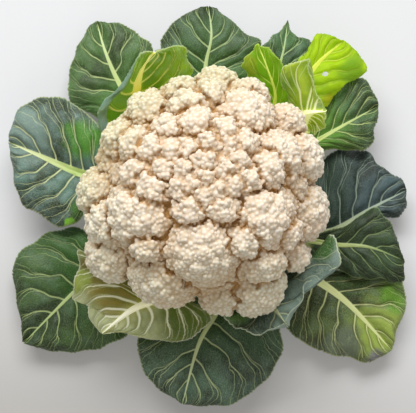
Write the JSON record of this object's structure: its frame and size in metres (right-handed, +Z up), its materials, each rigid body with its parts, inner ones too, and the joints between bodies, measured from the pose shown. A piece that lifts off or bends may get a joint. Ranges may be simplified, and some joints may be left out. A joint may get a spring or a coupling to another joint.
{
  "type": "cauliflower",
  "caption": "Whole cauliflower with a domed white head of florets on a thick cut stalk, ringed by spread outer leaves and a few upright inner leaves.",
  "frame": {"origin": "middle of the stalk's flat cut end, on the surface it stands on", "axes": "+Z up through the head; +Y away from the viewer of the picture, towards the top of the picture; +X to the right"},
  "size_m": [0.2838, 0.2886, 0.1299],
  "materials": {
    "stalk": "satin plant stem",
    "curd": "matt, finely beaded",
    "outer_leaf": "waxy leaf with pale veins",
    "inner_leaf": "young leaf with pale veins"
  },
  "bodies": {
    "root": {"stalk": "stalk", "curd": "curd", "leaf_left": "outer_leaf", "leaf_upper_left": "outer_leaf", "leaf_top": "outer_leaf", "leaf_top_right": "outer_leaf", "leaf_right_backlit": "outer_leaf", "leaf_right_upper": "outer_leaf", "leaf_right": "outer_leaf", "leaf_right_lower": "outer_leaf", "leaf_lower_right": "outer_leaf", "leaf_bottom": "outer_leaf", "leaf_lower_left": "outer_leaf", "inner_leaf_upper_left": "inner_leaf", "inner_leaf_top_right": "inner_leaf", "inner_leaf_folded": "inner_leaf", "inner_leaf_lower_right": "inner_leaf", "inner_leaf_lower_left": "inner_leaf"}
  },
  "joints": []
}
